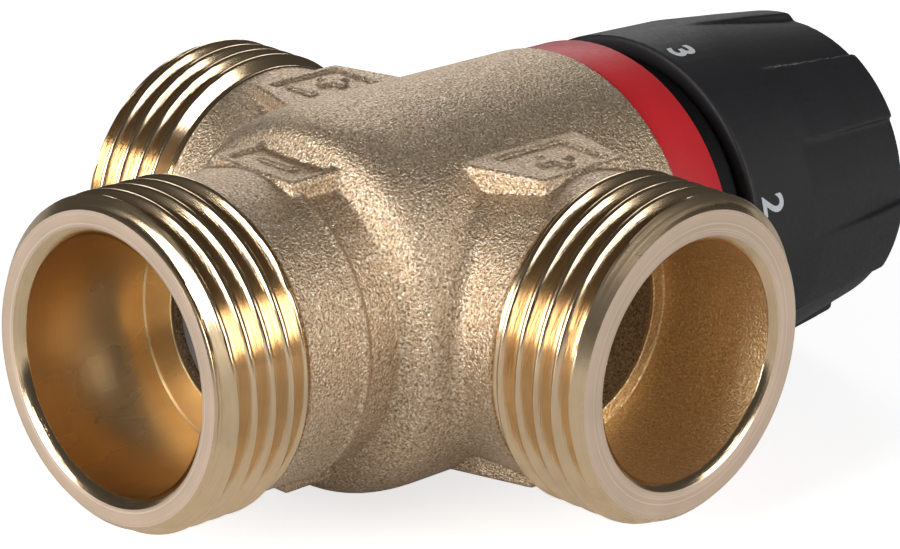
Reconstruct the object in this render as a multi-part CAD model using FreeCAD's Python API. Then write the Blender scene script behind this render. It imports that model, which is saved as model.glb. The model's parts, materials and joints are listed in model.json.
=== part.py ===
import FreeCAD, Part
import math
import os

# A three-way mixing valve with a wax element, lying with its spindle along +Y.
# It is modelled from the point where the ports' axes cross, with the knob along +Y, the
# cold port along -Y, the hot port along +X, the mixed port along -X, and the marked pads
# facing +Z and -Z. Names that end in _Y, _LOW, _TOP, _BOTTOM or _END are places along the
# spindle from that point, apart from those marked "from the cold face".
# placed() then puts the origin under the middle of the part, where its barrel lies.
# Everything is in millimetres.

V = FreeCAD.Vector

# Port noses, all three with the same pipe thread
THREAD_MAJOR_R = 16.62      # crest radius of a 1 inch parallel pipe thread
THREAD_LEN = 10.8           # sealing face to last thread
THREAD_CHAMFER = 1.36
THREAD_RUNOUT = 0.8
COLD_REACH = 43.2           # cold face to the axis of the side ports
SIDE_REACH = 35.3           # spindle axis to each side port's face
COLD_BORE_R = 12.7
COLD_BORE_DEPTH = 15.9      # from the cold face
COLD_BORE_CHAMFER = 0.9
SIDE_BORE_R = 12.0
SIDE_BORE_CHAMFER = 0.7
SIDE_FLOOR_X = 21.0         # end wall of each side port, from the spindle axis

# Cast outside of the body
BAND_R = 15.7
BAND_END = -23.7
NECK_R = 15.3
NECK_STEP = 0.4
SHOULDER_Y = -19.4
SHOULDER_RUN = 1.1
SHOULDER_DROP = 2.1         # from the barrel's outside
SHOULDER_ROUND = 6.6
BARREL_R = 19.7
BARREL_END = 17.7
SIDE_NECK_R = 15.6
ROOT_SHARE = 0.46           # of the barrel's overhang past the side necks
SPIGOT_END = 23.3           # the spigot carries the colour ring
SPIGOT_WALL = 2.2

# Marked pads on both flat sides
PAD_RISE = 0.4              # above the side necks
PAD_DEEP = 7.0
PAD_HALF = 5.8
PAD_FRONT_Y = -25.0
PAD_BACK_Y = -14.0
PAD_SIDE_X = 20.6
PAD_ROOT_X = 9.0
PAD_ROOT_HALF = 9.3
PAD_EDGE = 0.5
PANEL_RIM = 1.1
PANEL_DEPTH = 0.4
PANEL_END_X = 12.6
PANEL_BACK_Y = -17.6

# Waterways inside the body
COLD_POCKET_R = 8.8
COLD_SEAT_Y = 19.4          # from the cold face
COLD_HOLE_R = 6.25
COLD_WALL = 3.0
LOWER_ROOM_R = 12.0
LOWER_ROOM_END = 26.0       # from the cold face
BODY_WALL = 3.5
ROOM_CONE = 1.5
HOT_WEB_Y = -3.2
HOT_WEB = 3.5
HOT_HOLE_R = 10.8
ROOM_END = 11.3
WINDOW_R = 10.5
WINDOW_GAP = 0.8

# Clearances
SLIDE_GAP = 0.05            # between parts that slide or turn on each other, on the radius
LOOSE_GAP = 0.3             # between parts that only pass each other
FACE_GAP = 0.1
SCREWED_GAP = 0.04

# Colour ring and stop ring
RING_SET_BACK = 0.3         # from the barrel's outside
RING_WALL = 2.1
RING_TOP = 24.3
RING_LIP = 0.9
RING_EDGE = 0.35
STOP_SET_IN = 1.7           # from the knob's lower edge
STOP_WALL = 3.64            # past the corners of the bonnet's hexagon
STOP_LUG_DEG = 36.0
STOP_LUG_H = 3.2
STOP_LUG_AT = 270.0         # the lug's angle from +X toward +Z

# Bonnet
BONNET_FLANGE_STEP = 0.8    # past the bonnet's thread
BONNET_FLANGE = 1.8
BONNET_HEX_H = 4.0
BONNET_NECK_R = 8.0
BONNET_TOP = 32.2
GUIDE_R = 9.05              # bore in which the shuttle's tube slides
GUIDE_BOTTOM = 7.3
GUIDE_WALL = 2.4
KEYWAY_Y = 14.8
KEYWAY_R = 8.8
KEYWAY_HALF = 7.2
BONNET_SEAL_Y = 15.4
BONNET_SEAL_WIRE = 0.78
GROOVE_FLOOR = 0.02

# Spindle
SPINDLE_R = 4.5
SPINDLE_HEAD_R = 4.0
SPINDLE_FLAT = 3.0
FLANGE_R = 6.5
FLANGE_LOW = 20.3
THRUST_WASHER = 0.5
SCREW_THREAD_R = 3.6
SCREW_THREAD_END = 11.3
SPINDLE_SEAL_WIRE = 0.7
SPINDLE_SEAL_LOW = 25.8
SPINDLE_SEAL_STEP = 3.0
CLIP_THICK = 0.6
CLIP_R = 6.3
LEAD = 3.0                  # travel of the setting nut for one turn of the knob

# Control knob
KNOB_LOW = 28.5
KNOB_LOW_R = 19.2
KNOB_MID_Y = 40.0
KNOB_MID_R = 18.85
KNOB_HIGH_Y = 49.0
KNOB_HIGH_R = 17.95
KNOB_TOP = 56.5
KNOB_TOP_R = 17.1
KNOB_ROUND = 1.4
KNOB_WALL = 2.2
KNOB_WEB_Y = 44.8
KNOB_WEB = 2.5
HUB_R = 6.4
HUB_LOW = 33.8
GRIPS = 6
GRIP_DEG = 28.0
GRIP_START_Y = 37.3
GRIP_DEPTH = 0.9
KNOB_TURN = 15.0            # angle of the first digit from +X at the photographed setting
KNOB_RIB = 1.2
KNOB_RIB_LOW = 36.8
KNOB_LUG_DEG = 24.0
KNOB_LUG_AHEAD = 194.0      # from the stop ring's lug, at the photographed setting
KNOB_LUG_H = 3.4
KNOB_LUG_IN = 2.2
COVER_R = 13.6
COVER_THICK = 1.8
COVER_LEDGE = 0.9
COVER_EDGE = 0.35

# Knob screw
SCREW_R = 2.0
SCREW_LEN = 9.0
SCREW_HEAD_R = 3.8
SCREW_HEAD = 2.4
WASHER_R = 5.4
WASHER = 0.8

# Setting nut with its overload cartridge
NUT_LOW = 14.0
NUT_TOP = 18.8
CAGE_R = 6.3
CAGE_WALL = 0.8
CAGE_LOW = 5.0
CUP_R = 5.4
CUP_THICK = 1.6
CUP_LOW = 6.0
CUP_BOSS_R = 3.0
CUP_BOSS_LOW = 4.8
OVERLOAD_WIRE = 1.0
OVERLOAD_TURNS = 3.5

# Shuttle with its two closing discs
TUBE_R = 9.0
TUBE_IN_R = 6.6
TUBE_TOP = 11.4
HOT_DISC_R = 12.4
HOT_DISC_Y = 4.1
HOT_DISC = 2.0
HOT_SEAL = 0.9
HOT_SEAL_IN_R = 9.9
SOCKET_R = 8.0
SOCKET_LOW = -6.2
CAPSULE_SEAT_Y = 0.1
LEG_IN_R = 5.2
LEG_OUT_R = 7.3
LEG = 2.6
SPIDER_Y = 25.4             # from the cold face
SPIDER = 2.4
STEM_R = 3.2
STEM_END_R = 2.0
STEM_END = 16.0             # from the cold face
SHUTTLE_SEAL_Y = 9.2
SHUTTLE_SEAL_WIRE = 0.6
COLD_DISC_R = 8.2
COLD_DISC_Y = 16.6          # from the cold face
COLD_DISC = 2.0
COLD_SEAL = 0.7
COLD_NUT = 1.6
COLD_NUT_AF = 7.0
COLD_NUT_SUNK = 1.2         # into the disc's face

# Wax capsule and its piston
CAPSULE_R = 4.6
CAPSULE_GAP = 0.6            # above the spider
CAPSULE_FLANGE_R = 6.4
CAPSULE_FLANGE = 1.6
CAPSULE_NOSE_R = 2.8
PISTON_R = 1.5
PISTON_LOW = -7.2
PISTON_ROOM = 1.6           # below the piston, for the coldest setting

# Return spring
RETURN_R = 9.0
RETURN_WIRE = 1.2
RETURN_TURNS = 6.5

# Sizes that follow from those above
SHOULDER_R = BARREL_R - SHOULDER_DROP
ROOM_R = BARREL_R - BODY_WALL
ROOT_FILLET = ROOT_SHARE * (BARREL_R - SIDE_NECK_R)
PAD_Z = SIDE_NECK_R + PAD_RISE
RING_R = BARREL_R - RING_SET_BACK
SPIGOT_R = RING_R - RING_WALL - FACE_GAP
BONNET_BORE_R = SPIGOT_R - SPIGOT_WALL
BONNET_FLANGE_R = BONNET_BORE_R + BONNET_FLANGE_STEP
RING_LIP_R = BONNET_FLANGE_R + LOOSE_GAP
STOP_R = KNOB_LOW_R - STOP_SET_IN
CAPSULE_LOW = SPIDER_Y - COLD_REACH + SPIDER + CAPSULE_GAP
BONNET_HEX = (STOP_R - STOP_WALL) * math.sqrt(3.0)


def cold(distance):
    """Place along the spindle from a distance behind the cold port's face."""
    return distance - COLD_REACH


def turned(points, axis="y"):
    """Solid of revolution from (radius, distance) points round Y, or round the side ports' axis."""
    if axis == "y":
        corners = [V(r, d, 0) for r, d in points]
        base, direction = V(0, 0, 0), V(0, 1, 0)
    else:
        corners = [V(d, r, 0) for r, d in points]
        base, direction = V(0, 0, 0), V(1, 0, 0)
    face = Part.Face(Part.makePolygon(corners + [corners[0]]))
    return face.revolve(base, direction, 360)


def rod(radius, low, high):
    return Part.makeCylinder(radius, high - low, V(0, low, 0), V(0, 1, 0))


def tube(outer, inner, low, high):
    return rod(outer, low, high).cut(rod(inner, low - 1.0, high + 1.0))


def cone(low_r, high_r, low, high):
    return Part.makeCone(low_r, high_r, high - low, V(0, low, 0), V(0, 1, 0))


def side_rod(radius, x0, x1):
    return Part.makeCylinder(radius, x1 - x0, V(x0, 0, 0), V(1, 0, 0))


def block(x0, x1, y0, y1, z0, z1):
    return Part.makeBox(x1 - x0, y1 - y0, z1 - z0, V(x0, y0, z0))


def turned_to(shape, degrees):
    """Copy turned about the spindle, from +X toward +Z."""
    copy = shape.copy()
    copy.rotate(V(0, 0, 0), V(0, 1, 0), -degrees)
    return copy


def sector(points, degrees):
    """Piece of a turned shape, with its middle on +X."""
    corners = [V(r, d, 0) for r, d in points]
    face = Part.Face(Part.makePolygon(corners + [corners[0]]))
    piece = face.revolve(V(0, 0, 0), V(0, 1, 0), degrees)
    return turned_to(piece, degrees / 2.0)


def hexagon(across, low, high):
    radius = across / math.sqrt(3.0)
    corners = [V(radius * math.cos(math.radians(a)), low, radius * math.sin(math.radians(a)))
               for a in range(30, 391, 60)]
    return Part.Face(Part.makePolygon(corners)).extrude(V(0, high - low, 0))


def rims_at(shape, y):
    """Round edges that lie at the given distance along the spindle."""
    rims = [e for e in shape.Edges if isinstance(e.Curve, Part.Circle)]
    return [e for e in rims if abs(e.Vertexes[0].Y - y) < 1e-6]


def stepped(outer, inner, low, high):
    """Corners of a sector's section."""
    return [(inner, low), (outer, low), (outer, high), (inner, high)]


def seal(middle_r, wire_r, y):
    return Part.makeTorus(middle_r, wire_r, V(0, y, 0), V(0, 1, 0))


def seal_groove(bore_r, wire_r, y):
    """Groove for a ring seal that touches the bore of the given radius."""
    return tube(bore_r + 1.0, bore_r - 2.0 * wire_r - GROOVE_FLOOR, y - 1.2 * wire_r, y + 1.2 * wire_r)


def coil(mean_r, wire, turns, low, high):
    """Compression spring between two flat seats."""
    height = high - low - wire
    helix = Part.makeLongHelix(height / turns, height, mean_r)
    start = helix.Edges[0].Vertexes[0].Point
    circle = Part.Wire([Part.makeCircle(wire / 2.0, start, V(0, 1, 0))])
    spring = Part.Wire(helix.Edges).makePipeShell([circle], True, True)
    spring.rotate(V(0, 0, 0), V(1, 0, 0), -90)
    spring.translate(V(0, low + wire / 2.0, 0))
    return spring


def snap_ring(outer, inner, low, high, gap_deg):
    ring = tube(outer, inner, low, high)
    return ring.cut(sector(stepped(outer + 1.0, inner - 1.0, low - 1.0, high + 1.0), gap_deg))


def pad(corners):
    """Raised pad with rounded upper edges and a sunk panel, from its core up to PAD_Z."""
    outline = [V(x, y, PAD_Z - PAD_DEEP) for x, y in corners]
    solid = Part.Face(Part.makePolygon(outline + [outline[0]])).extrude(V(0, 0, PAD_DEEP))
    upper = [e for e in solid.Edges if all(abs(v.Z - PAD_Z) < 1e-6 for v in e.Vertexes)]
    return solid.makeFillet(PAD_EDGE, upper)


def panel(corners):
    outline = [V(x, y, PAD_Z - PANEL_DEPTH) for x, y in corners]
    return Part.Face(Part.makePolygon(outline + [outline[0]])).extrude(V(0, 0, PANEL_DEPTH + 1.0))


def both_sides(shape):
    return [shape, shape.mirror(V(0, 0, 0), V(0, 0, 1))]


def barrel():
    """Turned outside from the cold nose to the ring's spigot."""
    shoulder_top = SHOULDER_Y + SHOULDER_RUN
    outline = [
        V(0, cold(0), 0),
        V(THREAD_MAJOR_R - THREAD_CHAMFER, cold(0), 0),
        V(THREAD_MAJOR_R, cold(THREAD_CHAMFER), 0),
        V(THREAD_MAJOR_R, cold(THREAD_LEN), 0),
        V(BAND_R, cold(THREAD_LEN + THREAD_RUNOUT), 0),
        V(BAND_R, BAND_END, 0),
        V(NECK_R, BAND_END + NECK_STEP, 0),
        V(NECK_R, SHOULDER_Y, 0),
        V(SHOULDER_R, shoulder_top, 0),
    ]
    edges = [Part.makeLine(a, b) for a, b in zip(outline, outline[1:])]
    rise = BARREL_R - SHOULDER_R
    start, end = V(SHOULDER_R, shoulder_top, 0), V(BARREL_R, shoulder_top + SHOULDER_ROUND, 0)
    poles = [start, V(SHOULDER_R + 0.62 * rise, shoulder_top + 0.12 * SHOULDER_ROUND, 0),
             V(BARREL_R, shoulder_top + 0.45 * SHOULDER_ROUND, 0), end]
    bow = Part.BezierCurve()
    bow.setPoles(poles)
    edges.append(bow.toShape())
    rest = [end, V(BARREL_R, BARREL_END, 0), V(SPIGOT_R, BARREL_END, 0), V(SPIGOT_R, SPIGOT_END, 0),
            V(0, SPIGOT_END, 0), V(0, cold(0), 0)]
    edges += [Part.makeLine(a, b) for a, b in zip(rest, rest[1:])]
    face = Part.Face(Part.Wire(edges))
    return face.revolve(V(0, 0, 0), V(0, 1, 0), 360)


def side_collars():
    """The threaded ends of both side ports."""
    start = SIDE_REACH - THREAD_LEN
    sunk = 0.5 * (THREAD_MAJOR_R - SIDE_NECK_R)
    back = start - 1.5 * THREAD_RUNOUT
    collar = turned([(0, back), (SIDE_NECK_R - sunk, back),
                     (THREAD_MAJOR_R, start), (THREAD_MAJOR_R, SIDE_REACH - THREAD_CHAMFER),
                     (THREAD_MAJOR_R - THREAD_CHAMFER, SIDE_REACH), (0, SIDE_REACH)], "x")
    return [collar, collar.mirror(V(0, 0, 0), V(1, 0, 0))]


def waterways():
    """Everything the body is hollow by."""
    inlet = rod(COLD_BORE_R, cold(-1.0), cold(COLD_BORE_DEPTH))
    mouth = cone(COLD_BORE_R + COLD_BORE_CHAMFER, COLD_BORE_R, cold(0), cold(COLD_BORE_CHAMFER))
    pocket = rod(COLD_POCKET_R, cold(COLD_BORE_DEPTH) - 1.0, cold(COLD_SEAT_Y))
    hole = rod(COLD_HOLE_R, cold(COLD_SEAT_Y) - 1.0, cold(COLD_SEAT_Y) + COLD_WALL + 1.0)
    inlet = inlet.fuse([mouth, pocket, hole])
    lower = rod(LOWER_ROOM_R, cold(COLD_SEAT_Y) + COLD_WALL, cold(LOWER_ROOM_END))
    lower = lower.fuse(cone(LOWER_ROOM_R, ROOM_R, cold(LOWER_ROOM_END), cold(LOWER_ROOM_END) + ROOM_CONE))
    lower = lower.fuse(rod(ROOM_R, cold(LOWER_ROOM_END) + ROOM_CONE, HOT_WEB_Y))
    upper = rod(ROOM_R, HOT_WEB_Y + HOT_WEB, ROOM_END)
    upper = upper.fuse(rod(HOT_HOLE_R, HOT_WEB_Y - 1.0, ROOM_END))
    upper = upper.fuse(rod(BONNET_BORE_R, ROOM_END - 1.0, SPIGOT_END + 1.0))
    hot_side = side_rod(SIDE_BORE_R, SIDE_FLOOR_X, SIDE_REACH + 1.0)
    mixed_side = side_rod(SIDE_BORE_R, -SIDE_REACH - 1.0, -SIDE_FLOOR_X)
    lip = SIDE_REACH - SIDE_BORE_CHAMFER
    lips = turned([(SIDE_BORE_R + SIDE_BORE_CHAMFER, SIDE_REACH), (SIDE_BORE_R, lip), (0, lip),
                   (0, SIDE_REACH)], "x")
    lips = lips.fuse(lips.mirror(V(0, 0, 0), V(1, 0, 0)))
    reach = 2.0 * WINDOW_R
    hot_window = side_rod(WINDOW_R, SOCKET_R, SIDE_FLOOR_X + 1.0)
    low = HOT_WEB_Y + HOT_WEB + WINDOW_GAP
    hot_window = hot_window.common(block(0, reach * 2.0, low, ROOM_END + reach, -reach, reach))
    mixed_window = side_rod(WINDOW_R, -SIDE_FLOOR_X - 1.0, -SOCKET_R)
    high = HOT_WEB_Y - WINDOW_GAP
    mixed_window = mixed_window.common(block(-reach * 2.0, 0, -reach, high, -reach, reach))
    return [inlet, lower, upper, hot_side, mixed_side, lips, hot_window, mixed_window]


def valve_body():
    core_end = SIDE_REACH - THREAD_CHAMFER
    outside = barrel().fuse(side_rod(SIDE_NECK_R, -core_end, core_end))
    roots = [e for e in outside.Edges if isinstance(e.Curve, Part.BSplineCurve)]
    outside = outside.makeFillet(ROOT_FILLET, roots).fuse(side_collars())
    front = stepped(PAD_HALF, -PAD_HALF, PAD_FRONT_Y, PAD_BACK_Y)
    right = [(PAD_ROOT_X, -PAD_ROOT_HALF), (PAD_SIDE_X, -PAD_HALF), (PAD_SIDE_X, PAD_HALF),
             (PAD_ROOT_X, PAD_ROOT_HALF)]
    left = [(-x, y) for x, y in reversed(right)]
    pads = [pad(front), pad(right), pad(left)]
    outside = outside.fuse([side for p in pads for side in both_sides(p)])
    inset = PAD_HALF - PANEL_RIM
    front_panel = stepped(inset, -inset, PAD_FRONT_Y + PANEL_RIM, PANEL_BACK_Y)
    right_panel = stepped(PAD_SIDE_X - PANEL_RIM, PANEL_END_X, -inset, inset)
    left_panel = [(-x, y) for x, y in reversed(right_panel)]
    cuts = [side for p in (front_panel, right_panel, left_panel) for side in both_sides(panel(p))]
    solid = outside.cut(cuts + waterways())
    return solid.removeSplitter()


def colour_ring():
    inner = SPIGOT_R + FACE_GAP
    low = BARREL_END + FACE_GAP
    ring = rod(RING_R, low, RING_TOP)
    ring = ring.makeFillet(RING_EDGE, rims_at(ring, low) + rims_at(ring, RING_TOP))
    return ring.cut([rod(inner, low - 1.0, RING_TOP - RING_LIP), rod(RING_LIP_R, low, RING_TOP + 1.0)])


def stop_ring():
    low = SPIGOT_END + BONNET_FLANGE + FACE_GAP
    top = KNOB_LOW - LOOSE_GAP
    ring = rod(STOP_R, low, top).cut(hexagon(BONNET_HEX + 2.0 * FACE_GAP, low - 1.0, top + 1.0))
    outer = KNOB_LOW_R - KNOB_WALL - LOOSE_GAP
    inner = outer - KNOB_LUG_IN
    lug = sector(stepped(outer, inner, top - 1.0, top + STOP_LUG_H), STOP_LUG_DEG)
    return ring.fuse(turned_to(lug, STOP_LUG_AT)).removeSplitter()


def spindle_top():
    """End of the spindle, just short of the washer that clamps the knob."""
    return KNOB_WEB_Y + KNOB_WEB - LOOSE_GAP


def control_knob():
    web_top = KNOB_WEB_Y + KNOB_WEB
    shell = turned([(0, KNOB_LOW), (KNOB_LOW_R, KNOB_LOW), (KNOB_MID_R, KNOB_MID_Y),
                    (KNOB_HIGH_R, KNOB_HIGH_Y), (KNOB_TOP_R, KNOB_TOP), (0, KNOB_TOP)])
    shell = shell.makeFillet(KNOB_ROUND, rims_at(shell, KNOB_TOP))
    inner = KNOB_LOW_R - KNOB_WALL
    hollows = [
        turned([(0, KNOB_LOW - 1.0), (inner, KNOB_LOW - 1.0), (inner, KNOB_LOW + KNOB_LUG_H + 2.0),
                (KNOB_HIGH_R - KNOB_WALL - GRIP_DEPTH, KNOB_WEB_Y), (0, KNOB_WEB_Y)]),
        rod(COVER_R - COVER_LEDGE, web_top, KNOB_TOP + 1.0),
        rod(COVER_R + FACE_GAP, KNOB_TOP - COVER_THICK - FACE_GAP, KNOB_TOP + 1.0),
    ]
    shell = shell.cut(hollows)
    lug_low = KNOB_LOW + 0.8
    lug = stepped(inner + 0.5, inner - LOOSE_GAP - KNOB_LUG_IN, lug_low, lug_low + KNOB_LUG_H)
    added = [rod(HUB_R, HUB_LOW, KNOB_WEB_Y + 0.5),
             turned_to(sector(lug, KNOB_LUG_DEG), STOP_LUG_AT + KNOB_LUG_AHEAD)]
    scoops = []
    far = KNOB_LOW_R + 3.0
    for i in range(GRIPS):
        angle = KNOB_TURN + 360.0 * i / GRIPS
        rib = block(HUB_R - 1.0, KNOB_HIGH_R - KNOB_WALL, KNOB_RIB_LOW, KNOB_WEB_Y + 0.5,
                    -KNOB_RIB / 2.0, KNOB_RIB / 2.0)
        added.append(turned_to(rib, angle))
        scoop = sector([(KNOB_MID_R + 0.2, GRIP_START_Y), (KNOB_HIGH_R - GRIP_DEPTH * 0.75, KNOB_HIGH_Y),
                        (KNOB_TOP_R - GRIP_DEPTH, KNOB_TOP + 0.1), (far, KNOB_TOP + 0.1),
                        (far, GRIP_START_Y)], 360.0 / GRIPS - GRIP_DEG)
        scoops.append(turned_to(scoop, angle))
    socket = rod(SPINDLE_HEAD_R + SLIDE_GAP, HUB_LOW - 1.0, web_top + 1.0)
    socket = socket.cut(block(SPINDLE_FLAT + SLIDE_GAP, SPINDLE_R, HUB_LOW - 2.0, spindle_top() + 1.0,
                              -SPINDLE_R, SPINDLE_R))
    return shell.fuse(added).cut(scoops + [socket]).removeSplitter()


def knob_cover():
    disc = rod(COVER_R, KNOB_TOP - COVER_THICK, KNOB_TOP)
    return disc.makeFillet(COVER_EDGE, rims_at(disc, KNOB_TOP))


def knob_washer():
    low = KNOB_WEB_Y + KNOB_WEB
    return tube(WASHER_R, SCREW_R + SLIDE_GAP, low, low + WASHER)


def knob_screw():
    seat = KNOB_WEB_Y + KNOB_WEB + WASHER
    head = rod(SCREW_HEAD_R, seat, seat + SCREW_HEAD)
    head = head.makeFillet(SCREW_HEAD * 0.4, rims_at(head, seat + SCREW_HEAD))
    shank = rod(SCREW_R, seat - SCREW_LEN, seat + 0.2)
    slot = hexagon(2.5, seat + SCREW_HEAD - 1.4, seat + SCREW_HEAD + 1.0)
    return head.fuse(shank).cut(slot).removeSplitter()


def bonnet():
    top = SPIGOT_END + BONNET_FLANGE
    solid = rod(BONNET_BORE_R - SCREWED_GAP, ROOM_END + FACE_GAP, SPIGOT_END)
    solid = solid.fuse(rod(BONNET_FLANGE_R, SPIGOT_END, top))
    solid = solid.fuse(rod(GUIDE_R + GUIDE_WALL, GUIDE_BOTTOM, ROOM_END + 1.0))
    solid = solid.fuse(hexagon(BONNET_HEX, top, top + BONNET_HEX_H))
    solid = solid.fuse(rod(BONNET_NECK_R, top, BONNET_TOP))
    keyway = rod(KEYWAY_R, KEYWAY_Y - 1.0, SPIGOT_END)
    keyway = keyway.common(block(-KEYWAY_R, KEYWAY_R, KEYWAY_Y - 1.0, SPIGOT_END,
                                 -KEYWAY_HALF, KEYWAY_HALF))
    inside = [
        rod(GUIDE_R, GUIDE_BOTTOM - 1.0, KEYWAY_Y),
        keyway,
        rod(SPINDLE_R + SLIDE_GAP, SPIGOT_END - 1.0, BONNET_TOP + 1.0),
        seal_groove(BONNET_BORE_R, BONNET_SEAL_WIRE, BONNET_SEAL_Y),
    ]
    return solid.cut(inside).removeSplitter()


def bonnet_seal():
    wire = BONNET_SEAL_WIRE - GROOVE_FLOOR / 2.0
    return seal(BONNET_BORE_R - BONNET_SEAL_WIRE - GROOVE_FLOOR, wire, BONNET_SEAL_Y)


def spindle():
    flange_top = SPIGOT_END - THRUST_WASHER
    solid = rod(SCREW_THREAD_R, SCREW_THREAD_END, FLANGE_LOW)
    solid = solid.fuse(rod(FLANGE_R, FLANGE_LOW, flange_top))
    solid = solid.fuse(rod(SPINDLE_R, flange_top, HUB_LOW))
    head = rod(SPINDLE_HEAD_R, HUB_LOW, spindle_top())
    solid = solid.fuse(head.cut(block(SPINDLE_FLAT, SPINDLE_R, HUB_LOW, spindle_top() + 1.0,
                                      -SPINDLE_R, SPINDLE_R)))
    grooves = [seal_groove(SPINDLE_R + SLIDE_GAP, SPINDLE_SEAL_WIRE,
                           SPINDLE_SEAL_LOW + i * SPINDLE_SEAL_STEP)
               for i in range(2)]
    clip_low = BONNET_TOP + FACE_GAP
    grooves.append(tube(SPINDLE_R + 1.0, SPINDLE_HEAD_R, clip_low - GROOVE_FLOOR,
                        clip_low + CLIP_THICK + GROOVE_FLOOR))
    seat = KNOB_WEB_Y + KNOB_WEB + WASHER
    grooves.append(rod(SCREW_R + GROOVE_FLOOR, seat - SCREW_LEN - 1.0, spindle_top() + 1.0))
    return solid.cut(grooves).removeSplitter()


def spindle_seal(y):
    middle = SPINDLE_R + SLIDE_GAP - SPINDLE_SEAL_WIRE - GROOVE_FLOOR / 2.0
    return seal(middle, SPINDLE_SEAL_WIRE - GROOVE_FLOOR / 4.0, y)


def spindle_clip():
    low = BONNET_TOP + FACE_GAP
    return snap_ring(CLIP_R, SPINDLE_HEAD_R + GROOVE_FLOOR, low, low + CLIP_THICK, 70.0)


def thrust_washer():
    return tube(FLANGE_R, SPINDLE_R + SLIDE_GAP, SPIGOT_END - THRUST_WASHER, SPIGOT_END)


def setting_nut():
    head = rod(KEYWAY_R - LOOSE_GAP, NUT_LOW, NUT_TOP)
    flat = KEYWAY_HALF - LOOSE_GAP / 2.0
    head = head.common(block(-KEYWAY_R, KEYWAY_R, NUT_LOW - 1.0, NUT_TOP + 1.0, -flat, flat))
    cage = tube(CAGE_R, CAGE_R - CAGE_WALL, CAGE_LOW, NUT_LOW + 0.5)
    groove = rod(CAGE_R - CAGE_WALL / 2.0, CUP_LOW - FACE_GAP - CLIP_THICK, CUP_LOW - FACE_GAP)
    bore = rod(SCREW_THREAD_R + SCREWED_GAP, NUT_LOW - 1.0, NUT_TOP + 1.0)
    return head.fuse(cage).cut([bore, groove]).removeSplitter()


def cup_clip():
    outer = CAGE_R - CAGE_WALL / 2.0 - GROOVE_FLOOR
    top = CUP_LOW - FACE_GAP
    return snap_ring(outer, CUP_BOSS_R + LOOSE_GAP, top - CLIP_THICK, top, 50.0)


def spring_cup():
    disc = rod(CUP_R, CUP_LOW, CUP_LOW + CUP_THICK)
    return disc.fuse(rod(CUP_BOSS_R, CUP_BOSS_LOW, CUP_LOW + 0.2)).removeSplitter()


def overload_spring():
    outer = CAGE_R - CAGE_WALL - LOOSE_GAP
    return coil(outer - OVERLOAD_WIRE / 2.0, OVERLOAD_WIRE, OVERLOAD_TURNS, CUP_LOW + CUP_THICK, NUT_LOW)


def shuttle():
    disc_top = HOT_DISC_Y + HOT_DISC
    solid = rod(TUBE_R, disc_top - 0.5, TUBE_TOP)
    solid = solid.fuse([rod(HOT_DISC_R, HOT_DISC_Y, disc_top), rod(SOCKET_R, SOCKET_LOW, HOT_DISC_Y + 0.5)])
    hole_r = COLD_HOLE_R - SLIDE_GAP
    arms = []
    for angle in (90.0, 210.0, 330.0):
        leg = block(LEG_IN_R, LEG_OUT_R, cold(SPIDER_Y), SOCKET_LOW + 0.5, -LEG / 2.0, LEG / 2.0)
        spoke = block(0, LEG_OUT_R, cold(SPIDER_Y), cold(SPIDER_Y) + SPIDER, -LEG / 2.0, LEG / 2.0)
        wing = block(0, hole_r, cold(COLD_SEAT_Y) + 0.4, cold(SPIDER_Y) + 0.5, -LEG / 3.0, LEG / 3.0)
        wing = wing.common(rod(hole_r, cold(0), cold(SPIDER_Y) + 1.0))
        arms += [turned_to(piece, angle) for piece in (leg, spoke, wing)]
    solid = solid.fuse(arms)
    disc_back = cold(COLD_DISC_Y) + COLD_DISC
    stem = [rod(STEM_R, disc_back, cold(SPIDER_Y) + SPIDER),
            rod(STEM_END_R, cold(STEM_END), disc_back + 0.5)]
    solid = solid.fuse(stem)
    clip_low = CAPSULE_SEAT_Y + CAPSULE_FLANGE + FACE_GAP
    cuts = [
        rod(TUBE_IN_R, CAPSULE_SEAT_Y, TUBE_TOP + 1.0),
        rod(CAPSULE_R + LOOSE_GAP / 2.0, cold(SPIDER_Y) + SPIDER + FACE_GAP, CAPSULE_SEAT_Y + 1.0),
        rod(TUBE_IN_R + 0.4, clip_low, clip_low + CLIP_THICK),
        seal_groove(GUIDE_R, SHUTTLE_SEAL_WIRE, SHUTTLE_SEAL_Y),
    ]
    return solid.cut(cuts).removeSplitter()


def shuttle_seal():
    middle = GUIDE_R - SHUTTLE_SEAL_WIRE - GROOVE_FLOOR / 2.0
    return seal(middle, SHUTTLE_SEAL_WIRE - GROOVE_FLOOR / 4.0, SHUTTLE_SEAL_Y)


def hot_disc_seal():
    return tube(HOT_DISC_R - 0.2, HOT_SEAL_IN_R, HOT_DISC_Y - HOT_SEAL, HOT_DISC_Y)


def cold_disc():
    disc = rod(COLD_DISC_R, cold(COLD_DISC_Y), cold(COLD_DISC_Y) + COLD_DISC)
    disc = disc.makeFillet(0.5, rims_at(disc, cold(COLD_DISC_Y)))
    recess = rod(COLD_NUT_AF / math.sqrt(3.0) + LOOSE_GAP, cold(0), cold(COLD_DISC_Y) + COLD_NUT_SUNK)
    dish = tube(COLD_DISC_R - 1.6, COLD_NUT_AF * 0.75, cold(COLD_DISC_Y) - 1.0, cold(COLD_DISC_Y) + 0.5)
    return disc.cut([rod(STEM_END_R + GROOVE_FLOOR, cold(0), cold(COLD_SEAT_Y)), recess, dish])


def cold_disc_seal():
    low = cold(COLD_DISC_Y) + COLD_DISC
    return tube(COLD_DISC_R - 0.1, STEM_R + FACE_GAP, low, low + COLD_SEAL)


def cold_disc_nut():
    seat = cold(COLD_DISC_Y) + COLD_NUT_SUNK
    nut = hexagon(COLD_NUT_AF, seat - COLD_NUT, seat)
    return nut.cut(rod(STEM_END_R + GROOVE_FLOOR, cold(0), cold(COLD_SEAT_Y)))


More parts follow.
